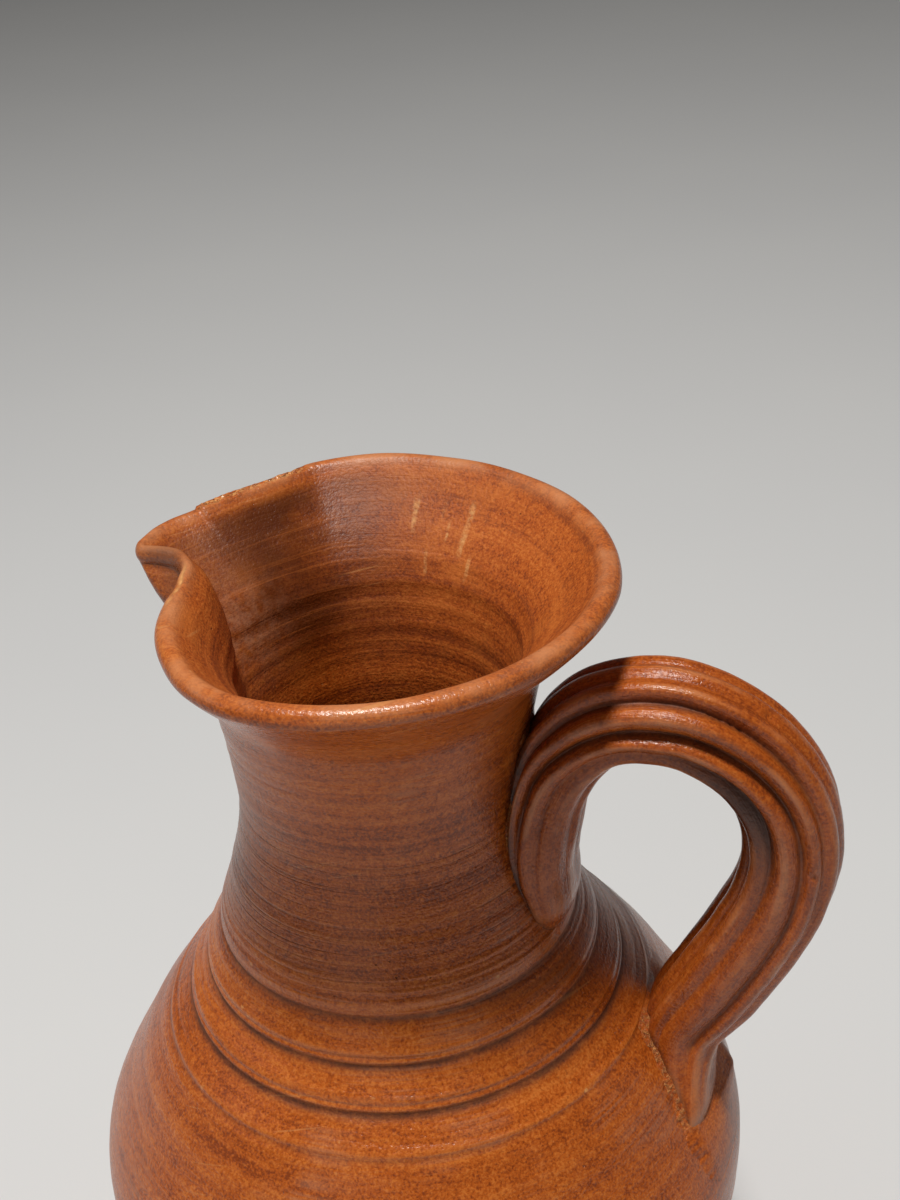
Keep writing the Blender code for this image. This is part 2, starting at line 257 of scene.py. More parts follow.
# Mesh of the body: turns between columns, closer at the spout, and heights between rows
COLUMN_STEP = 0.9
SPOUT_COLUMN_STEP = 0.45
SPOUT_COLUMNS = (112, 212)
NORMAL_PASSES = 6
FOOT_ROWS = ((0.014, 0.0010), (0.3, 0.0010), (0.62, 0.0007), (0.80, 0.0002))
BEVEL_TURNS = (0, 18, 36, 54, 72, 90)
FLOOR_SHARES = (0.72, 0.45, 0.2, 0.01)
LIP_ROWS = 25
LIP_INSIDE = (30, 150)
COARSE_STEP = 0.0022
MIDDLE_STEP = 0.0009
FINE_STEP = 0.0002
DEEP_STEP = 0.0042
FINE_ROWS = (COLLAR_Z - 0.016, COLLAR_Z + 0.0175)
NECK_ROWS_FROM = COLLAR_Z + 0.0182

# Marks of the making, on the body. A span holds where a mark starts, is full, is still full, and ends.
# Wobbles of the turned lines: height, waves round the jug, phase
WOBBLES = ((0.0011, 1, 0.7), (0.0006, 2, 2.1))
# Ripples: height, wavelength, seed
OUTER_RIPPLES = ((0.00004, 0.0052, 11), (0.00003, 0.0019, 12))
NECK_RIPPLES = ((0.00003, 0.0026, 13), (0.00003, 0.0013, 14))
INNER_RIPPLES = ((0.00006, 0.0085, 21), (0.00003, 0.0030, 22))
OUTER_SPAN = (0.004, 0.020, HEIGHT - 0.014, HEIGHT - 0.006)
INNER_SPAN = (0.030, 0.060, HEIGHT - 0.005, HEIGHT - 0.002)
NECK_SPAN = (COLLAR_Z - 0.002, COLLAR_Z + 0.020)
OUTER_LUMPS = 0.00030
RIM_LUMPS = 0.00028
RIM_BAND = (HEIGHT, 0.006)
# Rings inside the mouth: height and how proud, then the share, drop and width of the hollow under each
INNER_RINGS = ((0.2079, 0.00012), (0.2036, 0.00024), (0.1945, 0.00014), (0.1889, 0.00014))
INNER_WOBBLE = 0.0012
INNER_PHASE = -0.6
RING_WIDTH = 0.00055
RING_HOLLOW = (0.6, 0.0022, 0.0014)

# Wear, stains, painted shade and a painted sheen, on the body: angles round the jug and their spreads,
# turns round the lip, heights
CHIPPED_SPAN = (119, 126, 152.9, 153.8)
CHIPPED_TURN = (82.0, 32.0)
WORN_TURN = (82.0, 34.0)
CHIPPED_DEPTH = 0.00055
CHIPPED_ROUGH = 0.00075
CHIPPED_CRUMBS = 0.00055
SPOUT_DIP = 0.0010
SPOUT_DIP_SPAN = (152.9, 153.7, 168, 188)
SPOUT_DIP_BAND = (HEIGHT, 0.0042)
CHIP_ANGLE = (200.0, 8.0)
CHIP_TURN = (70.0, 20.0)
CHIP_DEPTH = 0.00040
CHIP_LEAST = 0.12
SCORED_SPAN = (COLLAR_Z + 0.009, COLLAR_Z + 0.015, NECK_Z - 0.006, NECK_Z + 0.012)
# Stain at the back left inside, darkened further as painted shade
SHADED_STAIN_ANGLE = (136.0, 44.0)
SHADED_STAIN_SPAN = (0.178, 0.198, 0.2180, 0.2215)
POLISH_ANGLE = (137.0, 19.0)
RUBBED_ANGLE = (74.0, 13.0)
RUBBED_BAND = (0.2045, 0.0080)
# Band along the lip of bare clay with a painted highlight
LIP_BAND = (HEIGHT, 0.0013)
# Painted shade down the spout's inner fold
FOLD_SHADE_ANGLE = (183.0, 5.0)
FOLD_SHADE_SPAN = (HEIGHT - 0.020, HEIGHT - 0.006)
# Painted shade on the outer face of the spout's nose
NOSE_SHADE_ANGLE = (183.0, 9.0)
NOSE_SHADE_SPAN = (HEIGHT - 0.022, HEIGHT - 0.008)
# Painted sheen inside, right of the spout's crease
SPOUT_SHEEN_ANGLE = (163.0, 15.0)
SPOUT_SHEEN_BAND = (0.2010, 0.0085)
# Where the handle's tail is rubbed into the belly there is no seam, so less painted shade: heights, sides,
# share
RUBBED_IN_HEIGHTS = (COLLAR_Z - 0.014, COLLAR_Z - 0.004)
RUBBED_IN_SIDES = (-0.1, 0.45)
RUBBED_IN_SHARE = 0.9
# Rub marks inside the mouth: angle, lower end, upper end, half width in degrees
SCRATCHES = (
    (90.0, 0.2095, 0.2165, 1.3),
    (80.5, 0.2125, 0.2165, 0.9),
    (77.5, 0.2085, 0.2135, 0.7),
    (71.0, 0.2070, 0.2170, 1.5),
    (66.0, 0.2030, 0.2090, 1.2),
    (84.0, 0.2030, 0.2085, 1.0),
)
SCRATCH_CORE = 0.3
SCRATCH_FADE = 0.002
SCRATCH_WAVER = 0.035

# Camera
CAMERA_PLACE = Vector((0.09505, -0.27294, 0.38464))
CAMERA_AIM = Vector((0.00433, 0.04186, 0.19013))
CAMERA_ROLL = math.radians(-5.06)
CAMERA_LENS = 54.0

# Stage: each light has a name, a place, an aim, a size, a power and a tint
LIGHTS = (
    ("key", (-0.01, -0.20, 1.45), (0.0, 0.0, 0.17), 0.20, 18.5, (1.0, 0.97, 0.92)),
    ("front", (-0.25, -1.25, 0.30), (0.0, 0.0, 0.15), 0.9, 1.15, (1.0, 0.96, 0.90)),
    ("side", (-1.1, -0.40, 0.75), (0.0, 0.0, 0.14), 0.8, 0.9, (0.86, 0.93, 1.0)),
)
SKY_COLOUR = (1.0, 0.96, 0.90, 1.0)
SKY_STRENGTH = 0.085
FLOOR_RADIUS = 3.2
FLOOR_SIDES = 96
FLOOR_DARK = (0.70, 0.71, 0.73, 1)
FLOOR_PALE = (0.74, 0.75, 0.76, 1)


# Shapes

def eased(xs, ys, x):
    """Shape-keeping cubic through the points (xs, ys), read at x."""
    xs = np.asarray(xs, float)
    ys = np.asarray(ys, float)
    h = np.diff(xs)
    d = np.diff(ys) / h
    m = np.zeros_like(ys)
    w1 = 2 * h[1:] + h[:-1]
    w2 = h[1:] + 2 * h[:-1]
    same = d[:-1] * d[1:] > 0
    before = np.where(same, d[:-1], 1.0)
    after = np.where(same, d[1:], 1.0)
    m[1:-1] = np.where(same, (w1 + w2) / (w1 / before + w2 / after), 0.0)
    m[0] = d[0]
    m[-1] = d[-1]
    x = np.clip(np.asarray(x, float), xs[0], xs[-1])
    k = np.clip(np.searchsorted(xs, x) - 1, 0, len(h) - 1)
    t = (x - xs[k]) / h[k]
    a = (1 + 2 * t) * (1 - t) ** 2 * ys[k] + t * (1 - t) ** 2 * h[k] * m[k]
    return a + t * t * (3 - 2 * t) * ys[k + 1] + t * t * (t - 1) * h[k] * m[k + 1]


def wall_radius(z):
    return eased(OUTLINE_Z, OUTLINE_R, z)


def wall_slope(z):
    step = 0.0005
    return (wall_radius(z + step) - wall_radius(z - step)) / (2 * step)


def shifted_radius(z, distance):
    """Radius at height z of the outer wall moved along its own normal by a distance."""
    grid = np.linspace(FOOT_BEVEL, WALL_TOP, 600)
    slope = wall_slope(grid)
    size = np.sqrt(1 + slope * slope)
    return np.interp(z, grid - distance * slope / size, wall_radius(grid) + distance / size)


def bell(x, width):
    """A smooth hump of height 1 at x = 0."""
    return np.exp(-(np.asarray(x, float) / width) ** 2)


def step_up(x, low, high):
    t = np.clip((np.asarray(x, float) - low) / (high - low), 0, 1)
    return t * t * (3 - 2 * t)


def waves(x, length, seed, count=7):
    """A repeatable uneven ripple of x, about -1 to 1, with wavelengths around a length."""
    rng = np.random.default_rng(seed)
    total = np.zeros_like(np.asarray(x, float))
    for _ in range(count):
        size = length * rng.uniform(0.55, 1.9)
        total = total + np.sin(2 * math.pi * (x / size + rng.uniform()))
    return total / math.sqrt(count) / 1.3


def cloud(points, scale, seed):
    """Smooth noise at each point, about -1 to 1."""
    shift = Vector((seed * 7.31, seed * 3.17, seed * 5.53))
    return np.array([noise.noise(Vector(p) * scale + shift) for p in points])


def turned(angle, middle):
    """Difference of two angles in degrees, from -180 to 180."""
    return (np.asarray(angle) - middle + 180) % 360 - 180


def band(x, middle, spread):
    return bell(x - middle, spread)


def around(angle, middle, spread):
    return bell(turned(angle, middle), spread)


def between(x, span):
    start, full, still, end = span
    return step_up(x, start, full) * (1 - step_up(x, still, end))


def ripples(level, table):
    return sum(size * waves(level, length, seed) for size, length, seed in table)


def rim_columns():
    """Angles of the body's columns, and the lip's centre line and outward normal at each."""
    first, last = SPOUT_COLUMNS
    base = np.concatenate([
        np.arange(0, first, COLUMN_STEP),
        np.arange(first, last, SPOUT_COLUMN_STEP),
        np.arange(last, 360, COLUMN_STEP),
    ])
    table = np.array(RIM_OUTLINE)
    angle = np.radians(eased(table[:, 0], table[:, 1], base))
    share = eased(table[:, 0], table[:, 2], base)
    lip = LIP_CENTRE * share[:, None] * np.stack([np.cos(angle), np.sin(angle)], 1)
    along = np.roll(lip, -1, axis=0) - np.roll(lip, 1, axis=0)
    normal = np.stack([along[:, 1], -along[:, 0]], 1)
    for _ in range(NORMAL_PASSES):
        normal = (np.roll(normal, 1, axis=0) + 2 * normal + np.roll(normal, -1, axis=0)) / 4
    normal /= np.linalg.norm(normal, axis=1)[:, None]
    return base, lip, normal


def spout_pull(z):
    """How far the rim's pressed outline acts at height z: as far as the wall has flared by then."""
    start = NECK_Z + SPOUT_START
    least = float(wall_radius(start))
    flared = float(wall_radius(max(z, start))) - least
    return flared / (OUTLINE_R[-1] - least)


def body_ring(columns, middle, offset, z):
    """One ring of the body: radius of the wall's middle, offset across the wall, height."""
    base, lip, normal = columns
    out = np.stack([np.cos(np.radians(base)), np.sin(np.radians(base))], 1)
    pull = spout_pull(z)
    across = (1 - pull) * out + pull * normal
    across /= np.linalg.norm(across, axis=1)[:, None]
    thin = 1 - pull * SPOUT_THINNING * bell(base - SPOUT_ANGLE, SPOUT_SPREAD)
    plan = middle * out + pull * (lip - LIP_CENTRE * out) + offset * thin[:, None] * across
    full = NOSE_FULLNESS * bell(base - NOSE_ANGLE, NOSE_SPREAD) * 4 * pull * (1 - pull)
    plan = plan + full[:, None] * across
    return np.column_stack([plan, np.full(len(base), z)])


def collar_steps():
    """Heights over the collar line and cuts there, for the stepped tiers of the collar."""
    steps = [(COLLAR_START, 0.0)]
    for rise, cut in FINE_RIDGE:
        steps.append((FINE_RIDGE_LIFT + rise, cut))
    for lift, depth in GROOVES:
        for rise, share in GROOVE_STEP:
            steps.append((lift + rise, depth * share))
        steps.append((lift + TIER_RIDGE, -TIER_PROUD))
    steps.append((GROOVES[-1][0] + COLLAR_END_RISE, 0.0))
    return np.array(steps).T


def groove_cut(z):
    """Cut into the wall at height z, with the shares of painted shade and of rubbed ridge with a painted
    highlight there.

    Each tier of the collar leans out to a ridge, steps back under it and ends in a dark groove."""
    over_collar = z - COLLAR_Z
    at, cuts = collar_steps()
    nearby = over_collar + np.linspace(-GROOVE_SOFTNESS, GROOVE_SOFTNESS, 7)
    cut = float(np.mean(np.interp(nearby, at, cuts, 0.0, 0.0)))
    fine = sum(float(bell(over_collar - lift, NECK_LINE_WIDTH)) for lift in NECK_LINES)
    cut -= NECK_LINE_PROUD * fine
    dark = 0.0
    ridge = float(bell(over_collar - FINE_RIDGE_LIFT, FINE_RIDGE_WIDTH)) + NECK_LINE_RUBBED_HIGHLIGHT * fine
    # Painted shade in the grooves and under the fine ridge, painted highlight on the ridges
    rise, width, full = GROOVE_SHADE
    for lift, depth in GROOVES:
        over = over_collar - lift
        dark += depth / full * float(bell(over - rise, width))
        ridge += float(bell(over - TIER_RIDGE, TIER_RIDGE_WIDTH))
    share, drop, width = FINE_RIDGE_SHADE
    dark += share * float(bell(over_collar - FINE_RIDGE_LIFT + drop, width))
    return cut, min(dark, 1.0), min(ridge, 1.0)


def body_rows():
    """Rows of the body from the foot up the outside, over the lip and down the inside.

    Each row holds the wall's middle radius, the offset across the wall and the height, then the shares
    of inside, of painted shade in the groove and of rubbed ridge with a painted highlight, and on the lip
    the angle round it, where 90 is its top."""
    half = WALL / 2
    under = -180.0
    within = 360.0
    rows = []
    for share, z in FOOT_ROWS:
        rows.append((FOOT_RADIUS * share, 0.0, z, 0.0, 0.0, 0.0, under))
    for turn in BEVEL_TURNS:
        a = math.radians(turn)
        radius = FOOT_RADIUS - FOOT_BEVEL * (1 - math.sin(a))
        rows.append((radius, 0.0, FOOT_BEVEL * (1 - math.cos(a)), 0.0, 0.0, 0.0, under))
    heights = list(np.arange(FOOT_BEVEL + 0.002, SHOULDER_Z, COARSE_STEP))
    heights += list(np.arange(SHOULDER_Z, FINE_ROWS[0], MIDDLE_STEP))
    heights += list(np.arange(FINE_ROWS[0], FINE_ROWS[1], FINE_STEP))
    heights += list(np.arange(NECK_ROWS_FROM, WALL_TOP - 0.0004, MIDDLE_STEP))
    for z in heights:
        cut, dark, ridge = groove_cut(z)
        rows.append((float(wall_radius(z)) - cut - half, half, z, 0.0, dark, ridge, under))
    for turn in np.linspace(-math.degrees(LIP_LEAN), 180 - math.degrees(LIP_LEAN), LIP_ROWS):
        a = math.radians(turn)
        inside = float(step_up(turn, *LIP_INSIDE))
        height = LIP_Z + LIP_RADIUS * math.sin(a)
        rows.append((LIP_CENTRE, LIP_RADIUS * math.cos(a), height, inside, 0.0, 0.0, turn))
    bottom = FLOOR_THICKNESS + FLOOR_FILLET
    top_in = LIP_Z + LIP_RADIUS * math.sin(math.pi - LIP_LEAN)
    heights = list(np.arange(top_in - 0.0010, NECK_Z, -MIDDLE_STEP))
    heights += list(np.arange(NECK_Z, bottom, -DEEP_STEP)) + [bottom]
    for z in heights:
        rows.append((float(shifted_radius(z, -WALL)) + half, -half, z, 1.0, 0.0, 0.0, within))
    edge = float(shifted_radius(bottom, -WALL))
    for turn in BEVEL_TURNS[1:]:
        a = math.radians(turn)
        radius = edge - FLOOR_FILLET * (1 - math.cos(a))
        rows.append((radius, 0.0, bottom - FLOOR_FILLET * math.sin(a), 1.0, 0.0, 0.0, within))
    for share in FLOOR_SHARES:
        rows.append((share * (edge - FLOOR_FILLET), 0.0, FLOOR_THICKNESS, 1.0, 0.0, 0.0, within))
    return rows


def grid_normals(grid):
    down = np.gradient(grid, axis=0)
    round_about = np.roll(grid, -1, axis=1) - np.roll(grid, 1, axis=1)
    normal = np.cross(round_about, down)
    size = np.linalg.norm(normal, axis=2)
    return normal / np.maximum(size, 1e-12)[:, :, None]


def make_mesh(name, vertices, faces, attributes):
    mesh = bpy.data.meshes.new(name)
    mesh.from_pydata(np.asarray(vertices).tolist(), [], faces)
    for key, values in attributes.items():
        layer = mesh.attributes.new(key, "FLOAT", "POINT")
        layer.data.foreach_set("value", np.asarray(values, np.float32).ravel())
    mesh.shade_smooth()
    obj = bpy.data.objects.new(name, mesh)
    bpy.context.scene.collection.objects.link(obj)
    return obj


def grid_faces(rows, cols, closed=True):
    faces = []
    for i in range(rows - 1):
        for j in range(cols if closed else cols - 1):
            k = (j + 1) % cols
            faces.append((i * cols + j, i * cols + k, (i + 1) * cols + k, (i + 1) * cols + j))
    return faces


def make_body():
    columns = rim_columns()
    base = columns[0]
    rows = body_rows()
    grid = np.array([body_ring(columns, *row[:3]) for row in rows])
    shares = [np.repeat([[row[k]] for row in rows], len(base), 1) for k in range(3, 7)]
    inside, groove, ridge, round_lip = shares
    normal = grid_normals(grid)
    flat = grid.reshape(-1, 3)
    z = grid[:, :, 2]
    angle = np.repeat(base[None, :], len(rows), 0)
    turn = np.radians(angle)
    level = z + sum(size * np.sin(count * turn + phase) for size, count, phase in WOBBLES)

    def field(scale, seed):
        return cloud(flat, scale, seed).reshape(z.shape)

    # Ripples that the fingers leave on the turning clay
    outer = (1 - inside) * between(z, OUTER_SPAN)
    neck = step_up(z, *NECK_SPAN)
    lift = outer * ripples(level, OUTER_RIPPLES)
    lift += outer * neck * ripples(level, NECK_RIPPLES)
    lift += outer * OUTER_LUMPS * field(26, 1)
    inner = inside * between(z, INNER_SPAN)
    lift += inner * ripples(level, INNER_RIPPLES)
    share, drop, width = RING_HOLLOW
    for height, size in INNER_RINGS:
        here = level + INNER_WOBBLE * np.sin(turn + INNER_PHASE) - height
        lift += inner * size * (bell(here, RING_WIDTH) - share * bell(here + drop, width))
    lift += band(z, *RIM_BAND) * RIM_LUMPS * field(60, 2)

    # Worn and chipped stretch of the rim behind the spout, ending in a small step
    chips = between(angle, CHIPPED_SPAN)
    rough = field(420, 3) + 0.7 * field(950, 4)
    crumbs = 1 - 2.4 * np.abs(field(620, 7))
    edge = band(round_lip, *CHIPPED_TURN)
    drop = chips * edge * (CHIPPED_DEPTH + CHIPPED_ROUGH * rough + CHIPPED_CRUMBS * crumbs)
    drop += SPOUT_DIP * between(angle, SPOUT_DIP_SPAN) * band(z, *SPOUT_DIP_BAND)
    near = around(angle, *CHIP_ANGLE) * band(round_lip, *CHIP_TURN)
    chip = np.clip(near * (1.0 + 0.8 * rough) - CHIP_LEAST, 0, 1)
    lift -= CHIP_DEPTH * chip

    scored = between(z, SCORED_SPAN) * (1 - inside) * np.clip(0.6 + 0.9 * field(34, 9), 0, 1)
    rubbed = around(angle, *RUBBED_ANGLE) * band(z, *RUBBED_BAND)
    # Painted shade in the spout's fold
    fold_shade = around(angle, *FOLD_SHADE_ANGLE) * step_up(z, *FOLD_SHADE_SPAN)
    # Painted shade on the spout's outer face
    nose_shade = around(angle, *NOSE_SHADE_ANGLE) * step_up(z, *NOSE_SHADE_SPAN)
    # Painted sheen beside the spout's crease
    spout_sheen = around(angle, *SPOUT_SHEEN_ANGLE) * band(z, *SPOUT_SHEEN_BAND)
    marks = {
        "inside": inside,
        "groove": groove,
        "worn": chips * band(round_lip, *WORN_TURN),
        "chip": chip,
        "nose_shade": nose_shade * (1 - inside),
        "spout_sheen": spout_sheen * inside,
        "fold_shade": fold_shade * inside,
        # Stain with painted shade at the back left inside
        "stain_and_shade": around(angle, *SHADED_STAIN_ANGLE) * between(z, SHADED_STAIN_SPAN) * inside,
        "polish": around(angle, *POLISH_ANGLE) * inside,
        "rubbed": rubbed * inside,
        "lip": band(z, *LIP_BAND),
        "scored": scored,
        "ridge": ridge,
    }

    grid = grid + normal * lift[:, :, None]
    grid[:, :, 2] -= drop
    faces = grid_faces(len(rows), len(base))
    last = (len(rows) - 1) * len(base)
    faces.append(tuple(range(len(base)))[::-1])
    faces.append(tuple(range(last, last + len(base))))
    return make_mesh("thrown_body_skin", grid.reshape(-1, 3), faces, marks)


def handle_path():
    """Centre line and section of the handle, from its tongue on the neck to its tail on the belly.

    Each row holds radius, height, then width, thickness and rib depth as shares, then the lean."""
    low = COLLAR_Z - TAIL_DROP
    top = NECK_Z + ARCH_RISE
    tip = NECK_Z - TONGUE_LENGTH
    tongue = (
        (0.000, -0.0028, 0.66, 0.22, 0.00, 0.92),
        (0.140, 0.0010, 1.02, 0.40, 0.10, 0.86),
        (0.312, 0.0021, 1.16, 0.55, 0.42, 0.77),
        (0.474, 0.0036, 1.17, 0.69, 0.85, 0.65),
        (0.644, 0.0051, 1.11, 0.76, 1.00, 0.42),
        (0.818, 0.0077, 1.04, 0.89, 1.00, 0.15),
    )
    arch = (
        (0.977, 0.300, 0.95),
        (1.000, 0.485, 1.00),
        (0.982, 0.665, 1.00),
        (0.918, 0.845, 1.00),
        (0.824, 0.963, 1.00),
        (0.711, 1.000, 1.00),
        (0.593, 0.963, 1.00),
        (0.480, 0.870, 1.00),
        (0.351, 0.735, 1.00),
    )
    tail = (
        (0.246, 0.0095, 1.00, 0.92, 0.90, 0.00),
        (0.180, 0.0036, 0.98, 0.80, 0.60, 0.14),
        (0.113, 0.0006, 1.08, 0.62, 0.30, 0.29),
        (0.052, -0.0012, 1.20, 0.44, 0.10, 0.48),
        (0.000, -0.0040, 1.12, 0.24, 0.00, 0.76),
    )
    rows = []
    for at, lift, wide, thick, rib, lean in tongue:
        z = tip + at * (top - tip)
        rows.append((float(wall_radius(z)) + lift, z, wide, thick, rib, lean * TONGUE_LEAN))
    for at, reach, thick in arch:
        radius = NECK_RADIUS + reach * (HANDLE_REACH - NECK_RADIUS)
        rows.append((radius, low + at * (top - low), 1.0, thick, 1.0, 0.0))
    for at, lift, wide, thick, rib, lean in tail:
        z = low + at * (top - low)
        rows.append((float(wall_radius(z)) + lift, z, wide, thick, rib, lean * TAIL_LEAN))
    return np.array(rows), len(tongue), len(tail)


def smooth_through(points, count):
    """A rounded curve through the points, read at evenly spaced places along it."""
    padded = np.vstack([2 * points[0] - points[1], points, 2 * points[-1] - points[-2]])
    dense = []
    for k in range(1, len(padded) - 2):
        p0, p1, p2, p3 = padded[k - 1:k + 3]
        for t in np.linspace(0, 1, 40, endpoint=False):
            a = 2 * p1 + (p2 - p0) * t + (2 * p0 - 5 * p1 + 4 * p2 - p3) * t * t
            dense.append(0.5 * (a + (3 * p1 - p0 - 3 * p2 + p3) * t ** 3))
    dense.append(points[-1])
    dense = np.array(dense)
    steps = np.hypot(np.diff(dense[:, 0]), np.diff(dense[:, 1]))
    length = np.concatenate([[0], np.cumsum(steps)])
    at = np.linspace(0, length[-1], count)
    return np.stack([np.interp(at, length, dense[:, c]) for c in range(dense.shape[1])], 1), length[-1]


def furrow_section(share, degrees):
    """Furrow share round the section, 1 in a furrow and 0 on a rib's top, and the furrows' depth there."""
    angles = []
    depths = []
    for turns, sizes in FRONT_FURROWS:
        angles.append(float(np.interp(share, FURROW_PLACES, turns)))
        depths.append(float(np.interp(share, FURROW_PLACES, sizes)))
    angles += list(BACK_FURROWS)
    depths += [BACK_DEPTH] * len(BACK_FURROWS)
    angles = np.array([angles[-1] - 360] + angles + [angles[0] + 360])
    depths = np.array([depths[-1]] + depths + [depths[0]])
    k = np.searchsorted(angles, degrees, side="right") - 1
    p = (degrees - angles[k]) / (angles[k + 1] - angles[k])
    # Each rib is round on top, and the furrows beside it are narrow
    furrow = 1 - np.sqrt(np.sin(math.pi * p) ** 2 + FURROW_ROUND)
    low = 1 - math.sqrt(1 + FURROW_ROUND)
    high = 1 - math.sqrt(FURROW_ROUND)
    return (furrow - low) / (high - low), depths[k] + (depths[k + 1] - depths[k]) * step_up(p, 0.2, 0.8)


def make_handle():
    path, length = smooth_through(handle_path()[0], HANDLE_STATIONS)
    along = np.gradient(path[:, :2], axis=0)
    along /= np.linalg.norm(along, axis=1)[:, None]
    turn = np.arange(HANDLE_COLUMNS) * 2 * math.pi / HANDLE_COLUMNS
    side = np.sin(turn)
    out = np.cos(turn)
    size = (np.abs(side) ** SECTION_POWER + np.abs(out) ** SECTION_POWER) ** (-1 / SECTION_POWER)
    degrees = np.degrees(turn)
    at = np.linspace(0, length, HANDLE_STATIONS)
    rings = []
    furrows = []
    bend_shade = []
    for i, (row, (dx, dz)) in enumerate(zip(path, along)):
        radius, z, wide, thick, rib, lean = row
        rib = max(rib, 0.0)
        share = at[i] / length
        here, weight = furrow_section(share, degrees)
        depth = rib * RIB_DEPTH * weight * (1 + RIB_WAVER * np.sin(9 * share + 3 * side + 1.0))
        tear = band(share, *TEAR_PLACE) * around(degrees, *TEAR_TURN)
        ragged = 0.5 + 0.5 * math.sin(at[i] * 2600) * math.sin(at[i] * 1130 + 1)
        keep = 1 - (depth * here + TEAR_DEPTH * tear * ragged) / (HANDLE_THICKNESS / 2)
        w = wide * HANDLE_WIDTH / 2
        t = thick * HANDLE_THICKNESS / 2
        x = radius - dz * size * keep * out * t
        y = -size * keep * side * w - lean
        h = z + dx * size * keep * out * t
        # Near the wall the strap is pressed round it
        hug = HANDLE_HUG * (1 - float(step_up(radius - float(wall_radius(z)), *HUG_SPAN)))
        bend = y / x
        y = (1 - hug) * y + hug * x * np.sin(bend)
        x = (1 - hug) * x + hug * x * np.cos(bend)
        rings.append(np.column_stack([x, y, h]))
        # Furrow share, painted as shade in the furrows
        furrows.append(here * rib * np.clip(weight, *FURROW_SHADE_DEPTHS) / FURROW_SHADE_FULL)
        # Painted shade under the bend
        bend_shade.append(band(share, *BEND_SHADE_PLACE) * between(degrees, BEND_SHADE_TURNS))
    grid = np.array(rings)
    normal = grid_normals(grid)
    flat = grid.reshape(-1, 3)
    lift = sum(height * cloud(flat, scale, seed) for height, scale, seed in HANDLE_LUMPS)
    for point, width in DENTS:
        far = np.linalg.norm(flat - np.array(point), axis=1)
        lift = lift - DENT_DEPTH * bell(far, width)
    grid = grid + normal * lift.reshape(grid.shape[:2])[:, :, None]
    # The ends are buried in the wall and never reach the inside
    flat = grid.reshape(-1, 3)
    radius = np.hypot(flat[:, 0], flat[:, 1])
    least = wall_radius(flat[:, 2]) - END_BURIED
    scale = np.maximum(1.0, least / np.maximum(radius, 1e-9))
    flat[:, 0] *= scale
    flat[:, 1] *= scale
    clear = (radius * scale - wall_radius(flat[:, 2])) / np.sqrt(1 + wall_slope(flat[:, 2]) ** 2)
    # Painted shade along the seams, but not where the tail is rubbed into the belly
    rubbed_in = 1 - step_up(flat[:, 2], *RUBBED_IN_HEIGHTS)
    rubbed_in = rubbed_in * (1 - step_up(np.tile(side, HANDLE_STATIONS), *RUBBED_IN_SIDES))
    seam_shade = (1 - step_up(clear, *SEAM_SHADE_SPAN)) * (1 - RUBBED_IN_SHARE * rubbed_in)
    faces = grid_faces(HANDLE_STATIONS, HANDLE_COLUMNS)
    faces.append(tuple(range(HANDLE_COLUMNS))[::-1])
    last = (HANDLE_STATIONS - 1) * HANDLE_COLUMNS
    faces.append(tuple(range(last, last + HANDLE_COLUMNS)))
    marks = {
        "furrow": np.array(furrows),
        "bend_shade": np.array(bend_shade),
        "seam_shade": seam_shade,
        "along": np.repeat(at[:, None], HANDLE_COLUMNS, 1),
        "side": np.repeat(side[None, :], HANDLE_STATIONS, 0),
        "out": np.repeat(out[None, :], HANDLE_STATIONS, 0),
    }
    return make_mesh("pulled_handle_skin", flat, faces, marks)


def lumps(*parts):
    """Noise summed from parts that each hold a size and a place."""
    return sum(size * noise.noise(Vector(place)) for size, place in parts)


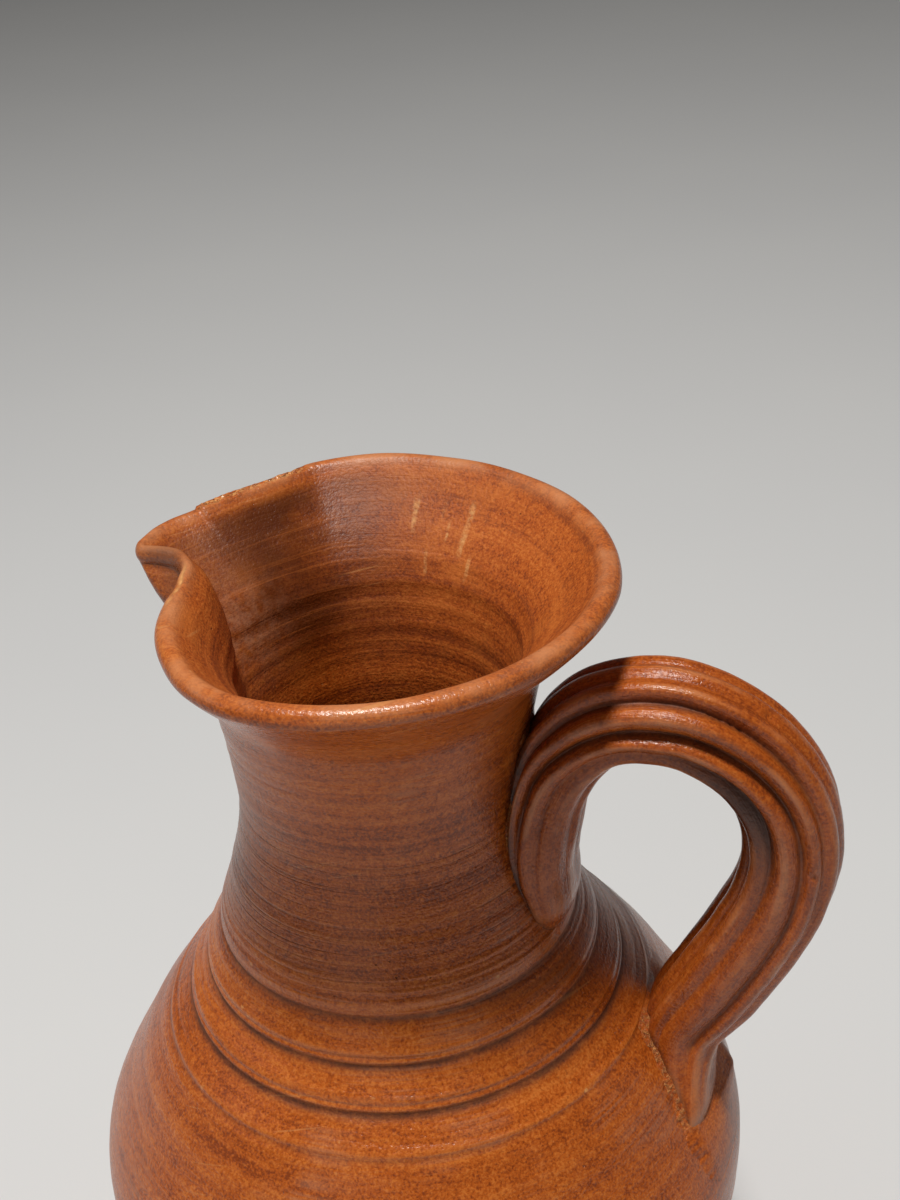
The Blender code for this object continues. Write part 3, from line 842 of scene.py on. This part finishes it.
def make_slip(name, rows, lap, seed, edges, thumb):
    """Slip smeared on the wall under one end of the handle, thickest against the strap.

    The lap is how far it runs up past the last row, and the thumb is the depth of a pressed hollow at
    the right."""
    left, right, past, thick_left, thick_right, tuck = edges
    order = np.argsort(rows[:, 1])
    heights = rows[order, 1]
    leans = rows[order, 5]
    touching = np.full(len(rows), SLIP_CONTACT)
    touching[-1] = SLIP_TOP_CONTACT
    touching[-2] = (SLIP_CONTACT + SLIP_TOP_CONTACT) / 2
    widths = rows[order, 2] * HANDLE_WIDTH / 2
    proud = rows[order, 0] - wall_radius(heights)
    crests = proud + rows[order, 3] * HANDLE_THICKNESS / 2
    tip = heights[0]
    low = tip - past
    high = heights[-1] + lap
    points = []
    scraped = []
    pressed = []
    for i in range(SLIP_STEPS + 1):
        t = i / SLIP_STEPS
        z = low + (high - low) * t
        at = min(max(z, tip), heights[-1])
        near = float(eased(heights, widths * touching, at)) - tuck
        far = float(eased(heights, widths, at)) - SLIP_RIGHT_TUCK * tuck
        lean = float(eased(heights, leans, at))
        middle = float(eased(heights, proud, at))
        wall = float(wall_radius(z))
        slope = float(wall_slope(z))
        size = math.sqrt(1 + slope * slope)
        under = max(tip - z, 0.0) / past
        above = float(step_up(z, high, high - SLIP_TOP_FADE))
        above_tip = float(step_up(z, tip + LUMPS_START, tip + LUMPS_FULL))
        crest = FILLET_SHARE * float(eased(heights, crests, min(at + FILLET_RISE, heights[-1])))
        joined = 1 - float(step_up(middle, *FILLET_SPAN))
        fillet = min(max(crest, thick_left), thick_right) * joined
        ragged = 1 + lumps((0.25, (t * 13, seed, 0.3)), (0.2, (t * 41, seed, 1.7)))
        for j in range(SLIP_COLUMNS + 1):
            v = j / SLIP_COLUMNS
            y = -(near + left * ragged) * (1 - v) + (far + right) * v
            beside = max(-y - near, 0.0) / (left * ragged) + max(y - far, 0.0) / right
            reach = min(math.hypot(beside, under), 1.0)
            rightward = float(step_up(y, -near, far))
            fade = (1 - rightward) * (1 - float(step_up(reach, 0.0, 1.0))) + rightward * (1 - reach) ** 2
            fade *= above
            sink = max(float(step_up(reach, SLIP_SINKS_FROM, 1.0)), 1 - above)
            thick = thick_left + (fillet - thick_left) * rightward
            lump = lumps((1.0, (t * 24, v * 9, seed)), (0.6, (t * 70, v * 26, seed)))
            lump *= LUMP_SIZE * (1 - float(step_up(y, -near, 0.0))) * above_tip
            lift = thick * fade * max(1 + lump, LUMP_LEAST) - SLIP_BURIED * sink
            thumb_y = (y - far - THUMB_BESIDE) / THUMB_WIDTH
            thumb_z = (z - tip - THUMB_RISE) / THUMB_HEIGHT
            ring = math.hypot(thumb_y, thumb_z)
            press = float(bell(ring, THUMB_ROUND))
            lift += thumb * (THUMB_RIM * float(band(ring, *THUMB_RIM_AT)) - press)
            angle = (y - lean) / wall
            radius = wall + lift / size
            points.append((radius * math.cos(angle), radius * math.sin(angle), z - lift * slope / size))
            scraped.append(float(step_up(-y, CRUMBS_START * near, near)) * above_tip)
            pressed.append(press if thumb else 0.0)
    faces = grid_faces(SLIP_STEPS + 1, SLIP_COLUMNS + 1, closed=False)
    return make_mesh(name, points, faces, {"edge": np.array(scraped), "thumb": np.array(pressed)})


# Materials

def add_node(tree, kind, settings=None, inputs=None):
    made = tree.nodes.new(kind)
    for key, value in (settings or {}).items():
        setattr(made, key, value)
    for key, value in (inputs or {}).items():
        if isinstance(value, bpy.types.NodeSocket):
            tree.links.new(value, made.inputs[key])
        else:
            made.inputs[key].default_value = value
    return made


def attribute(tree, name):
    return add_node(tree, "ShaderNodeAttribute", {"attribute_name": name}).outputs["Fac"]


def maths(tree, operation, a, b=0.0, clamp=False):
    settings = {"operation": operation, "use_clamp": clamp}
    return add_node(tree, "ShaderNodeMath", settings, {0: a, 1: b}).outputs[0]


def times(tree, a, b):
    return maths(tree, "MULTIPLY", a, b)


def plus(tree, a, b):
    return maths(tree, "ADD", a, b)


def minus(tree, a, b):
    return maths(tree, "SUBTRACT", a, b)


def blend(tree, factor, a, b):
    settings = {"data_type": "RGBA", "blend_type": "MIX"}
    return add_node(tree, "ShaderNodeMix", settings, {0: factor, 6: a, 7: b}).outputs[2]


def remap(tree, value, low, high, least=0.0, most=1.0):
    node = add_node(tree, "ShaderNodeMapRange", {"interpolation_type": "SMOOTHSTEP"})
    tree.links.new(value, node.inputs[0])
    for index, number in enumerate((low, high, least, most)):
        node.inputs[index + 1].default_value = number
    return node.outputs[0]


def moved(tree, operation, vector, by):
    return add_node(tree, "ShaderNodeVectorMath", {"operation": operation}, {0: vector, 1: by}).outputs[0]


def grain(tree, vector, scale, detail=3.0, rough=0.55, stretch=None):
    if stretch:
        vector = moved(tree, "MULTIPLY", vector, stretch)
    settings = {"noise_dimensions": "3D"}
    inputs = {"Vector": vector, "Scale": scale, "Detail": detail, "Roughness": rough}
    return add_node(tree, "ShaderNodeTexNoise", settings, inputs).outputs[0]


def patches(tree, vector, scale, low, high, detail=3.0, rough=0.55, least=0.0, most=1.0):
    """Noise of one scale, from the least where it is low to the most where it is high."""
    return remap(tree, grain(tree, vector, scale, detail, rough), low, high, least, most)


def flecks(tree, vector, scale, size):
    """Small scattered spots, 1 inside a spot."""
    spots = add_node(tree, "ShaderNodeTexVoronoi", {"feature": "F1"}, {"Vector": vector, "Scale": scale})
    return remap(tree, spots.outputs["Distance"], size, size * 0.35)


def layer(tree, colour, over, amount, *masks):
    """A colour with another laid over it where all the masks let it through, by an amount at most."""
    cover = masks[0]
    for mask in masks[1:]:
        cover = times(tree, cover, mask)
    return blend(tree, times(tree, cover, amount), colour, over)


def roughen(tree, shader, least, parts):
    """Set the roughness: a least value, then masks that each add their weight."""
    total = None
    for mask, weight in parts:
        part = times(tree, mask, weight)
        total = part if total is None else plus(tree, total, part)
    tree.links.new(maths(tree, "ADD", total, least, True), shader.inputs["Roughness"])


def emboss(tree, shader, parts):
    """Set the fine relief: heights that each have a depth in metres and a strength."""
    normal = None
    for height, depth, strength in parts:
        inputs = {"Strength": strength, "Distance": depth, "Height": height}
        if normal is not None:
            inputs["Normal"] = normal
        normal = add_node(tree, "ShaderNodeBump", None, inputs).outputs[0]
    tree.links.new(normal, shader.inputs["Normal"])


def start_material(name):
    material = bpy.data.materials.new(name)
    material.use_nodes = True
    tree = material.node_tree
    shader = tree.nodes["Principled BSDF"]
    shader.inputs["Metallic"].default_value = 0.0
    shader.inputs["IOR"].default_value = 1.5
    shader.inputs["Specular IOR Level"].default_value = 0.40
    where = add_node(tree, "ShaderNodeTexCoord").outputs["Object"]
    return material, tree, shader, where


CLAY = (0.420, 0.088, 0.009, 1.0)
CLAY_DARK = (0.215, 0.040, 0.006, 1.0)
CLAY_PALE = (0.570, 0.160, 0.026, 1.0)
CLAY_SOOT_AND_SHADE = (0.035, 0.012, 0.006, 1.0)
CLAY_RAW = (0.680, 0.340, 0.120, 1.0)
CLAY_DUST_AND_SHEEN = (0.400, 0.200, 0.120, 1.0)
CLAY_STAIN_AND_SHADE = (0.055, 0.011, 0.002, 1.0)
CLAY_GREY = (0.130, 0.058, 0.036, 1.0)
CLAY_WORN_AND_HIGHLIGHT = (0.560, 0.230, 0.100, 1.0)


def clay_colour(tree, where, streaks):
    """Mottled fired clay: broad clouds, streaks left by the making, and fine grain."""
    fine = grain(tree, where, scale=1900, detail=2, rough=0.6)
    tone = times(tree, grain(tree, where, scale=24, detail=4), 0.18)
    tone = plus(tree, tone, times(tree, streaks, 0.36))
    tone = plus(tree, tone, times(tree, grain(tree, where, scale=140, detail=4, rough=0.6), 0.12))
    tone = plus(tree, tone, times(tree, grain(tree, where, scale=620, detail=3, rough=0.65), 0.28))
    tone = plus(tree, tone, times(tree, fine, 0.48))
    colour = blend(tree, remap(tree, tone, low=0.59, high=0.72), CLAY_DARK, CLAY)
    colour = blend(tree, remap(tree, tone, low=0.70, high=0.86), colour, CLAY_PALE)
    specks = grain(tree, where, scale=1450, detail=1, rough=0.5)
    colour = blend(tree, remap(tree, specks, low=0.60, high=0.70, most=0.45), colour, CLAY_PALE)
    colour = blend(tree, remap(tree, specks, low=0.40, high=0.30, most=0.48), colour, CLAY_DARK)
    return colour, plus(tree, fine, specks)


def scratch_marks(tree, where):
    """Short upright rub marks inside the mouth, under the lip."""
    apart = add_node(tree, "ShaderNodeSeparateXYZ", None, {0: where}).outputs
    round_at = maths(tree, "ARCTAN2", apart[1], apart[0])
    shaky = minus(tree, grain(tree, where, scale=260, detail=2), 0.5)
    round_at = plus(tree, round_at, times(tree, shaky, SCRATCH_WAVER))
    marks = None
    for middle, low, high, width in SCRATCHES:
        off = maths(tree, "ABSOLUTE", minus(tree, round_at, math.radians(middle)))
        across = remap(tree, off, math.radians(width), math.radians(width * SCRATCH_CORE))
        start = remap(tree, apart[2], low, low + SCRATCH_FADE)
        end = remap(tree, apart[2], high, high - SCRATCH_FADE)
        mark = times(tree, across, times(tree, start, end))
        marks = mark if marks is None else maths(tree, "MAXIMUM", marks, mark)
    return marks


def body_material():
    material, tree, shader, where = start_material("turned_terracotta")
    mark = partial(attribute, tree)
    spots = partial(patches, tree, where)
    lay = partial(layer, tree)
    inside = mark("inside")
    groove = mark("groove")
    ridge = mark("ridge")
    worn = mark("worn")
    chip = mark("chip")
    lip = mark("lip")

    # Streaks of the turning, wavering a little in height
    waver = times(tree, grain(tree, where, scale=14, detail=1), 0.006)
    lift = add_node(tree, "ShaderNodeCombineXYZ", None, {"Z": waver}).outputs[0]
    turned_at = moved(tree, "ADD", where, lift)
    lines = grain(tree, turned_at, scale=1, detail=4, rough=0.6, stretch=(10, 10, 460))
    hair = grain(tree, turned_at, scale=1, detail=3, rough=0.6, stretch=(26, 26, 1700))
    colour, fine = clay_colour(tree, where, lines)

    # The dry inside is paler in patches, and dark at the back left with a stain and painted shade
    cover = spots(scale=60, low=0.48, high=0.72, detail=4, rough=0.65, most=0.55)
    colour = lay(colour, CLAY_PALE, 1.0, inside, cover)
    # Stain at the back left, deepened as painted shade
    cover = spots(scale=85, low=0.25, high=0.65, least=0.72)
    colour = lay(colour, CLAY_STAIN_AND_SHADE, 0.92, mark("stain_and_shade"), cover)
    cover = spots(scale=190, low=0.38, high=0.66, detail=4, rough=0.65)
    colour = lay(colour, CLAY_PALE, 0.8, mark("rubbed"), cover)
    colour = lay(colour, CLAY_PALE, 1.0, inside, remap(tree, hair, low=0.54, high=0.68, most=0.20))
    colour = lay(colour, CLAY_DARK, 1.0, inside, remap(tree, lines, low=0.46, high=0.34, most=0.35))

    # Bare clay on the lip with a painted highlight, and rub marks under it
    cover = spots(scale=120, low=0.35, high=0.7, least=0.15, most=0.8)
    colour = lay(colour, CLAY_WORN_AND_HIGHLIGHT, 0.90, lip, cover)
    cover = spots(scale=520, low=0.36, high=0.66, detail=4, rough=0.7)
    colour = lay(colour, CLAY_RAW, 0.75, scratch_marks(tree, where), cover, inside)

    # Painted shade in the turned grooves and the spout's fold, rubbed ridges with a painted highlight,
    # dust and crumbs
    # Painted shade in the turned grooves
    cover = spots(scale=210, low=0.25, high=0.6, least=0.55)
    colour = lay(colour, CLAY_SOOT_AND_SHADE, 0.74, groove, cover)
    # Painted shade in the spout's fold
    colour = lay(colour, CLAY_SOOT_AND_SHADE, 0.45, mark("fold_shade"))
    # Ridges paler where rubbed, with a painted highlight
    cover = spots(scale=700, low=0.40, high=0.62, rough=0.7)
    colour = lay(colour, CLAY_PALE, 0.55, ridge, cover)
    haze = spots(scale=38, low=0.50, high=0.68)
    streaky = remap(tree, hair, low=0.40, high=0.62)
    colour = lay(colour, CLAY_DUST_AND_SHEEN, 0.32, haze, streaky, minus(tree, 1.0, inside))
    crumbs = flecks(tree, where, scale=300, size=0.22)
    cover = spots(scale=70, low=0.48, high=0.60, detail=2)
    colour = lay(colour, CLAY_RAW, 0.75, crumbs, remap(tree, ridge, low=0.05, high=0.4), cover)

    # Dark scored rings on the neck
    rings = grain(tree, turned_at, scale=1, detail=2, rough=0.5, stretch=(3.5, 3.5, 1250))
    scored = times(tree, remap(tree, rings, low=0.50, high=0.66), mark("scored"))
    colour = lay(colour, CLAY_SOOT_AND_SHADE, 0.42, scored)

    # Torn rim, painted shade on the spout's grey nose, painted sheen in the spout, chip
    cover = spots(scale=1250, low=0.49, high=0.55, detail=2, rough=0.6)
    colour = lay(colour, CLAY_RAW, 0.80, worn, cover)
    cover = spots(scale=800, low=0.46, high=0.38, detail=2, rough=0.6)
    colour = lay(colour, CLAY_SOOT_AND_SHADE, 0.75, worn, cover)
    # Painted shade, grey, on the spout's outer face
    colour = lay(colour, CLAY_GREY, 0.60, mark("nose_shade"))
    # Painted sheen, a pale reflection inside beside the spout's crease
    cover = spots(scale=420, low=0.30, high=0.70, rough=0.65)
    colour = lay(colour, CLAY_DUST_AND_SHEEN, 0.50, mark("spout_sheen"), cover)
    colour = lay(colour, CLAY_RAW, 1.0, chip)

    # Hairlines, pale flecks and pits all over
    slant = {"Vector": where, "Rotation": (0.35, 0.25, 0.0)}
    aslant = add_node(tree, "ShaderNodeVectorRotate", {"rotation_type": "EULER_XYZ"}, slant).outputs[0]
    hairline = grain(tree, aslant, scale=1, detail=1, rough=0.5, stretch=(38, 38, 1500))
    cover = spots(scale=45, low=0.50, high=0.64, detail=2)
    colour = lay(colour, CLAY_RAW, 0.30, remap(tree, hairline, low=0.70, high=0.76), cover)
    cover = spots(scale=90, low=0.55, high=0.72, detail=2)
    colour = lay(colour, CLAY_RAW, 0.6, flecks(tree, where, scale=340, size=0.10), cover)
    cover = spots(scale=110, low=0.58, high=0.75, detail=2)
    pits = times(tree, flecks(tree, where, scale=420, size=0.12), cover)
    colour = lay(colour, CLAY_SOOT_AND_SHADE, 0.7, pits)
    tree.links.new(colour, shader.inputs["Base Color"])

    roughen(tree, shader, 0.08, (
        (grain(tree, where, scale=75, detail=4), 0.22),
        (hair, 0.16),
        (inside, 0.30),
        (mark("polish"), -0.30),
        (groove, 0.45),
        (lip, -0.06),
        (chip, 0.3),
    ))
    emboss(tree, shader, (
        (lines, 0.00014, 0.8),
        (hair, 0.00008, 0.9),
        (minus(tree, 0.0, scored), 0.00010, 0.9),
        (fine, 0.00010, 0.9),
        (minus(tree, 0.0, pits), 0.00025, 1.0),
    ))
    return material


def handle_material():
    material, tree, shader, where = start_material("pulled_terracotta")
    mark = partial(attribute, tree)
    spots = partial(patches, tree, where)
    lay = partial(layer, tree)
    shader.inputs["Specular IOR Level"].default_value = 0.44
    at = add_node(tree, "ShaderNodeCombineXYZ", None, {
        "X": times(tree, mark("side"), 7.0),
        "Y": times(tree, mark("out"), 7.0),
        "Z": times(tree, mark("along"), 26.0),
    }).outputs[0]
    lines = grain(tree, at, scale=1.6, detail=4, rough=0.6)
    hair = grain(tree, at, scale=6.0, detail=3, rough=0.6)
    colour, fine = clay_colour(tree, where, lines)
    colour = blend(tree, 0.30, colour, CLAY_DARK)

    # Painted shade in the furrows, under the bend and along the seams
    furrow = mark("furrow")
    cover = spots(scale=160, low=0.2, high=0.6, least=0.6)
    furrow_shade = times(tree, remap(tree, furrow, low=0.35, high=1.0), cover)
    colour = lay(colour, CLAY_SOOT_AND_SHADE, 0.68, furrow_shade)
    # Painted shade on the handle's underside at the bend
    colour = lay(colour, CLAY_SOOT_AND_SHADE, 0.86, mark("bend_shade"))
    # Painted shade where the strap nears the wall
    cover = spots(scale=240, low=0.30, high=0.58, rough=0.6, least=0.35, most=0.85)
    colour = lay(colour, CLAY_SOOT_AND_SHADE, 1.0, mark("seam_shade"), cover)

    # Rubbed rib tops with a painted highlight, pits
    cover = spots(scale=85, low=0.42, high=0.70)
    rubbed = times(tree, remap(tree, furrow, low=0.12, high=0.0), cover)
    colour = lay(colour, CLAY_WORN_AND_HIGHLIGHT, 0.55, rubbed)
    cover = spots(scale=95, low=0.58, high=0.75, detail=2)
    pits = times(tree, flecks(tree, where, scale=300, size=0.13), cover)
    colour = lay(colour, CLAY_SOOT_AND_SHADE, 0.7, pits)
    tree.links.new(colour, shader.inputs["Base Color"])

    roughen(tree, shader, 0.06, (
        (grain(tree, where, scale=95, detail=4), 0.24),
        (hair, 0.14),
        (rubbed, -0.07),
        (furrow_shade, 0.30),
    ))
    emboss(tree, shader, (
        (lines, 0.00022, 0.8),
        (hair, 0.00010, 0.9),
        (fine, 0.00010, 0.9),
        (minus(tree, 0.0, pits), 0.00025, 1.0),
    ))
    return material


def slip_material():
    material, tree, shader, where = start_material("luting_slip")
    mark = partial(attribute, tree)
    spots = partial(patches, tree, where)
    lay = partial(layer, tree)
    smear = grain(tree, where, scale=1, detail=4, rough=0.6, stretch=(60, 60, 160))
    colour, fine = clay_colour(tree, where, smear)
    cover = spots(scale=950, low=0.44, high=0.66, detail=4, rough=0.75)
    crumbs = times(tree, mark("edge"), cover)
    colour = lay(colour, CLAY_RAW, 0.62, crumbs)
    cover = spots(scale=300, low=0.25, high=0.65, least=0.5)
    colour = lay(colour, CLAY_DUST_AND_SHEEN, 0.45, mark("thumb"), cover)
    tree.links.new(colour, shader.inputs["Base Color"])
    roughen(tree, shader, 0.26, ((smear, 0.25),))
    emboss(tree, shader, ((smear, 0.00016, 0.8), (fine, 0.00010, 0.9), (crumbs, 0.0003, 0.9)))
    return material


# Stage

def make_camera():
    forward = (CAMERA_AIM - CAMERA_PLACE).normalized()
    level = forward.cross(Vector((0, 0, 1))).normalized()
    upright = level.cross(forward)
    right = math.cos(CAMERA_ROLL) * level + math.sin(CAMERA_ROLL) * upright
    up = right.cross(forward)
    data = bpy.data.cameras.new("view")
    data.lens = CAMERA_LENS
    data.sensor_width = 36.0
    data.sensor_fit = "AUTO"
    data.clip_start = 0.01
    camera = bpy.data.objects.new("view", data)
    turn = Matrix((right, up, -forward)).transposed()
    camera.matrix_world = Matrix.Translation(CAMERA_PLACE) @ turn.to_4x4()
    bpy.context.scene.collection.objects.link(camera)
    bpy.context.scene.camera = camera


def add_light(name, place, aim, size, power, tint):
    data = bpy.data.lights.new(name, "AREA")
    data.shape = "DISK"
    data.size = size
    data.energy = power
    data.color = tint
    light = bpy.data.objects.new(name, data)
    light.location = place
    light.rotation_euler = (Vector(aim) - Vector(place)).to_track_quat("-Z", "Y").to_euler()
    bpy.context.scene.collection.objects.link(light)


def make_stage():
    world = bpy.data.worlds.new("studio")
    world.use_nodes = True
    bpy.context.scene.world = world
    sky = world.node_tree.nodes["Background"]
    sky.inputs["Color"].default_value = SKY_COLOUR
    sky.inputs["Strength"].default_value = SKY_STRENGTH
    for light in LIGHTS:
        add_light(*light)
    mesh = bpy.data.meshes.new("studio_floor")
    turns = np.linspace(0, 2 * math.pi, FLOOR_SIDES, endpoint=False)
    rim = [(FLOOR_RADIUS * math.cos(a), FLOOR_RADIUS * math.sin(a), 0.0) for a in turns]
    mesh.from_pydata(rim, [], [tuple(range(FLOOR_SIDES))])
    floor = bpy.data.objects.new("studio_floor", mesh)
    bpy.context.scene.collection.objects.link(floor)
    material, tree, shader, where = start_material("pale_floor")
    soft = grain(tree, where, scale=5, detail=2)
    tree.links.new(blend(tree, soft, FLOOR_DARK, FLOOR_PALE), shader.inputs["Base Color"])
    shader.inputs["Roughness"].default_value = 0.8
    mesh.materials.append(material)


def dress(piece, node, material):
    piece.data.materials.append(material)
    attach(piece, "root")
    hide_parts(node)


def build():
    rows, tongue, tail = handle_path()
    upper = rows[:tongue]
    lower = rows[-tail:]
    dress(make_body(), "thrown_body", body_material())
    dress(make_handle(), "pulled_handle", handle_material())
    slip = slip_material()
    upper_form = (UPPER_SLIP_LAP, UPPER_SLIP_SEED, UPPER_SLIP_EDGES, 0.0)
    piece = make_slip("upper_luting_slip_skin", upper, *upper_form)
    dress(piece, "upper_luting_slip", slip)
    lower_form = (LOWER_SLIP_LAP, LOWER_SLIP_SEED, LOWER_SLIP_EDGES, THUMB_DEPTH)
    piece = make_slip("lower_luting_slip_skin", lower, *lower_form)
    dress(piece, "lower_luting_slip", slip)


bpy.context.scene.view_settings.view_transform = "Standard"
make_camera()
make_stage()
build()
bpy.context.view_layer.update()
